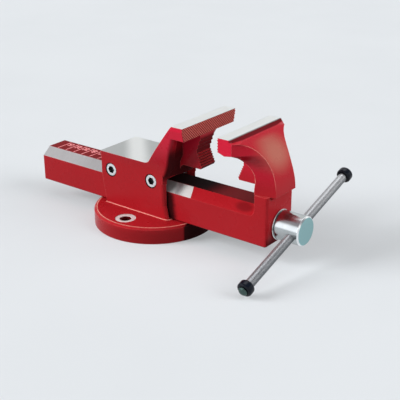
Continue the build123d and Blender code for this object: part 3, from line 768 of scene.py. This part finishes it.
dress(enamel("enamel_body", BODY_AREAS, FIXED_FACE_X, -1.0), "fixed_body")
dress(enamel("enamel_slide", SLIDE_AREAS, MOVING_FACE_X, 1.0), "sliding_jaw")
dress(
    turned_steel("polished_head", HEAD_CLEAN, HEAD_DULL, (0.14, 0.22), 0.35 * MM, is_head=True),
    "spindle",
)
dress(
    turned_steel("bright_ring", RING_CLEAN, RING_DULL, (0.16, 0.26), 0.3 * MM),
    "thrust_ring", "rear_washer",
)
dress(socket_screw("zinc_screw"), *[name for name in nodes if name.startswith("adjusting_screw")])
dress(
    plain_steel("bright_pin", RING_CLEAN, RING_DULL, (0.22, 0.38), (400.0, 400.0, 400.0)),
    "collar_pin",
)
dress(
    plain_steel("black_steel", BLACKED, BLACKED_DULL, (0.35, 0.5), (300.0, 300.0, 300.0)),
    "retaining_collar", "nut_bolts",
)
dress(
    plain_steel("ground_gib", GIB_CLEAN, GIB_DULL, (0.25, 0.4), (60.0, 700.0, 700.0)),
    "guide_gib_near", "guide_gib_far",
)
dress(
    plain_steel("cast_nut", CAST_CLEAN, CAST_DULL, (0.45, 0.6), (200.0, 200.0, 200.0), scratch=0.8),
    "spindle_nut",
)
dress(drawn_rod("drawn_rod"), "handle_rod")


# ---------------------------------------------------------------- pieces made here
def new_piece(name, mesh, material, body):
    piece = bpy.data.objects.new(name, mesh)
    bpy.context.scene.collection.objects.link(piece)
    mesh.materials.append(material)
    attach(piece, body)
    return piece


def finished_mesh(name, form):
    """Mesh made from a bmesh, which is freed."""
    mesh = bpy.data.meshes.new(name)
    form.to_mesh(mesh)
    form.free()
    return mesh


def lathe(name, outline, segments=72):
    """Closed ring: an outline of (along, radius) points turned about Z."""
    form = bmesh.new()
    rings = []
    for index in range(segments):
        turn = 2 * pi * index / segments
        rings.append([form.verts.new((r * cos(turn), r * sin(turn), a)) for a, r in outline])
    count = len(outline)
    for index, ring in enumerate(rings):
        following = rings[(index + 1) % segments]
        for place in range(count):
            after = (place + 1) % count
            form.faces.new((ring[place], following[place], following[after], ring[after]))
    bmesh.ops.recalc_face_normals(form, faces=form.faces)
    for face in form.faces:
        face.smooth = True
    return finished_mesh(name, form)


def rounded_corner(along, radius, size, start, steps=7):
    """Points of a quarter circle about (along, radius), from the angle start on."""
    turns = [radians(start + 90 * step / steps) for step in range(steps + 1)]
    return [(along + size * cos(turn), radius + size * sin(turn)) for turn in turns]


def build_bumpers():
    """Moulded rubber rings on the ends of the handle, rounder than plain turned ones."""
    bore, outer_round, inner_round = 5.5 * MM, 3.2 * MM, 1.2 * MM
    material = rubber("black_rubber")
    diameter = bumper_high.x - bumper_low.x
    length = (bumper_high.y - bumper_low.y - diameter * abs(HANDLE_WAY.z)) / abs(HANDLE_WAY.y)
    half, outer = length / 2, diameter / 2
    outline = (
        rounded_corner(half - outer_round, outer - outer_round, outer_round, 0)
        + rounded_corner(outer_round - half, outer - outer_round, outer_round, 90)
        + rounded_corner(inner_round - half, bore + inner_round, inner_round, 180)
        + rounded_corner(half - inner_round, bore + inner_round, inner_round, 270)
    )
    turn = HANDLE_WAY.to_track_quat("Z", "X").to_matrix().to_4x4()
    for end, center in (("near", NEAR_END), ("far", FAR_END)):
        mesh = lathe(f"rubber_end_{end}", outline)
        mesh.transform(Matrix.Translation(center) @ turn)
        piece = new_piece(f"rubber_end_{end}", mesh, material, "handle")
        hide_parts(f"handle_bumper_{end}")


def line_mesh(lines_x, width, near, far, corner, bottom, top):
    """Flat bars across the slide, each with its four corners cut off."""
    form = bmesh.new()
    for x in lines_x:
        left, right = x - width / 2, x + width / 2
        outline = [
            (left, near + corner), (left + corner, near),
            (right - corner, near), (right, near + corner),
            (right, far - corner), (right - corner, far),
            (left + corner, far), (left, far - corner),
        ]
        low = [form.verts.new((*point, bottom)) for point in outline]
        high = [form.verts.new((*point, top)) for point in outline]
        form.faces.new(high)
        form.faces.new(low[::-1])
        for place in range(len(outline)):
            after = (place + 1) % len(outline)
            form.faces.new((low[place], low[after], high[after], high[place]))
    return finished_mesh("scale_lines", form)


def figure_mesh(name, text, size, bold, thickness):
    """Plain number, made into a mesh about its middle."""
    curve = bpy.data.curves.new(name, "FONT")
    curve.body = text
    curve.size = size
    curve.align_x, curve.align_y = "CENTER", "CENTER"
    curve.extrude = thickness / 2
    curve.offset = bold
    holder = bpy.data.objects.new(name, curve)
    bpy.context.scene.collection.objects.link(holder)
    bpy.context.view_layer.update()
    mesh = bpy.data.meshes.new_from_object(holder)
    bpy.data.objects.remove(holder)
    return mesh


def build_scale():
    """Scale on top of the bar's rear end: cross lines with plain numbers between them."""
    material = scale_enamel("scale_enamel")
    line_count, pitch, first = 7, 17 * MM, 17.5 * MM
    line_width, line_near, line_far, line_corner = 1.8 * MM, -15.4 * MM, 14.2 * MM, 0.35 * MM
    figure_size, figure_y, figure_bold = 12.0 * MM, 5.0 * MM, 0.45 * MM
    proud, sunk = 0.08 * MM, 0.05 * MM
    lines_x = [BAR_REAR_X + first + pitch * index for index in range(line_count)]
    mesh = line_mesh(
        lines_x, line_width, line_near, line_far, line_corner, BAR_TOP - sunk, BAR_TOP + proud
    )
    new_piece("scale_lines", mesh, material, "jaw")
    for index in range(line_count - 1):
        number = index + 1
        mesh = figure_mesh(
            f"figure_{number}", str(10 * number), figure_size, figure_bold, proud + sunk
        )
        middle = Vector((lines_x[index] + pitch / 2, figure_y, BAR_TOP + (proud - sunk) / 2))
        mesh.transform(Matrix.Translation(middle) @ Matrix.Rotation(pi / 2, 4, "Z"))
        new_piece(f"scale_figure_{number}", mesh, material, "jaw")


build_bumpers()
build_scale()

# ---------------------------------------------------------------- stage, camera, light
FLOOR_TONES = (0.400, 0.420, 0.440), (0.415, 0.435, 0.455)
FLOOR_LIT = (0.22, 0.23, 0.24)  # its colour for the rays that light the part
FLOOR_GLOW = 0.30  # it also shines a little for the eye, so that shadows on it stay soft
FLOOR_GLOW_COLOUR = (0.95, 0.98, 1.0)
WALL_LOW, WALL_HIGH = (0.62, 0.64, 0.67), (1.0, 1.0, 1.0)
CEILING = (0.50, 0.44, 0.47)
DIM_RIGHT = (0.27, 0.28, 0.30)
GLOSS_PATCHES = (  # direction, cosines of the outer and inner edge, colour
    ((-0.60, -0.78, 0.18), 0.86, 0.97, (1.9, 1.9, 1.98)),
    ((-0.20, 0.30, 0.93), 0.93, 0.98, (2.2, 2.25, 2.3)),
)
WORLD_LIGHT = 0.06  # what the world gives to matt surfaces
SOFTBOXES = (  # name, direction, share of full light on a face turned to it, width in degrees
    ("key", (-0.66, -0.60, 0.44), 1.20, 32),
    ("side", (0.85, 0.25, 0.46), 0.70, 45),
    ("top", (0.15, -0.05, 0.95), 0.26, 60),
    ("fill", (0.60, -0.75, 0.30), 0.17, 50),
)
CAMERA_AZIMUTH, CAMERA_ELEVATION, CAMERA_ROLL = radians(37.7), radians(22.78), radians(-0.24)
CAMERA_DISTANCE = 1.25164
CAMERA_TARGET = Vector((0.08495, 0.0, 0.05157))
PHOTO_PIXELS, FOCAL_PIXELS, SENSOR_WIDTH = 400, 875.53, 36.0


def seen_rays(shader):
    """1 for the rays that show the surroundings: to the camera, in gloss and through glass."""
    path = shader.add("ShaderNodeLightPath").outputs
    return shader.union(
        path["Is Camera Ray"], path["Is Glossy Ray"], path["Is Transmission Ray"]
    )


def build_stage():
    half = 14.0
    mesh = bpy.data.meshes.new("floor")
    mesh.from_pydata(
        [(-half, -half, 0), (half, -half, 0), (half, half, 0), (-half, half, 0)],
        [],
        [(0, 1, 2, 3)],
    )
    floor = bpy.data.objects.new("floor", mesh)
    bpy.context.scene.collection.objects.link(floor)
    shader = Finish("pale_floor")
    place, _ = shader.place()
    pale = shader.mix(shader.step(shader.noise(3.0, 3.0, place), 0.3, 0.7), *FLOOR_TONES)
    seen = seen_rays(shader)
    shader.set(
        Base_Color=shader.mix(seen, FLOOR_LIT, pale),
        Emission_Color=FLOOR_GLOW_COLOUR,
        Emission_Strength=shader.math("MULTIPLY", seen, FLOOR_GLOW),
        Roughness=0.9,
        Specular_IOR_Level=0.0,
    )
    mesh.materials.append(shader.material)


def build_world():
    """Pale room that only gloss and metal show: a bright wall, a dimmer ceiling, two softboxes."""
    world = bpy.data.worlds.new("studio")
    bpy.context.scene.world = world
    world.use_nodes = True
    shader = Nodes(world.node_tree)
    background = world.node_tree.nodes["Background"]
    direction = shader.add("ShaderNodeTexCoord").outputs["Generated"]
    across, depth, height = shader.add("ShaderNodeSeparateXYZ", {"Vector": direction}).outputs
    wall = shader.mix(shader.step(height, 0.08, 0.36), WALL_LOW, WALL_HIGH)
    ceiling = shader.product(
        shader.step(height, 0.46, 0.68), shader.step(depth, 0.30, 0.50, 1.0, 0.0)
    )
    sky = shader.mix(ceiling, wall, CEILING)
    right = shader.product(shader.step(height, 0.42, 0.66), shader.step(across, 0.0, 0.45))
    sky = shader.mix(right, sky, DIM_RIGHT)
    for way, outer, inner, colour in GLOSS_PATCHES:
        patch = shader.step(
            shader.likeness(direction, Vector(way).normalized()), outer, inner
        )
        sky = shader.mix(patch, sky, colour)
    shader.plug(background.inputs["Color"], sky)
    shader.plug(
        background.inputs["Strength"], shader.blend(seen_rays(shader), WORLD_LIGHT, 1.0)
    )


def add_softbox(name, direction, level, width):
    """A far studio softbox, which the world's patches stand for in gloss."""
    data = bpy.data.lights.new(name, "SUN")
    data.energy = level * pi
    data.angle = radians(width)
    light = bpy.data.objects.new(name, data)
    light.visible_glossy = False
    light.rotation_euler = (-Vector(direction)).to_track_quat("-Z", "Y").to_euler()
    bpy.context.scene.collection.objects.link(light)


def add_camera():
    """The photograph's viewpoint, solved from the photo."""
    away = Vector((
        sin(CAMERA_AZIMUTH) * cos(CAMERA_ELEVATION),
        -cos(CAMERA_AZIMUTH) * cos(CAMERA_ELEVATION),
        sin(CAMERA_ELEVATION),
    ))
    data = bpy.data.cameras.new("camera")
    data.sensor_width = SENSOR_WIDTH
    data.lens = SENSOR_WIDTH * FOCAL_PIXELS / PHOTO_PIXELS
    data.clip_end = 100.0
    camera = bpy.data.objects.new("camera", data)
    camera.location = CAMERA_TARGET + away * CAMERA_DISTANCE
    turn = (-away).to_track_quat("-Z", "Y").to_matrix() @ Matrix.Rotation(CAMERA_ROLL, 3, "Z")
    camera.rotation_euler = turn.to_euler()
    bpy.context.scene.collection.objects.link(camera)
    bpy.context.scene.camera = camera


build_stage()
build_world()
for softbox in SOFTBOXES:
    add_softbox(*softbox)
add_camera()
bpy.context.scene.view_settings.view_transform = "Standard"
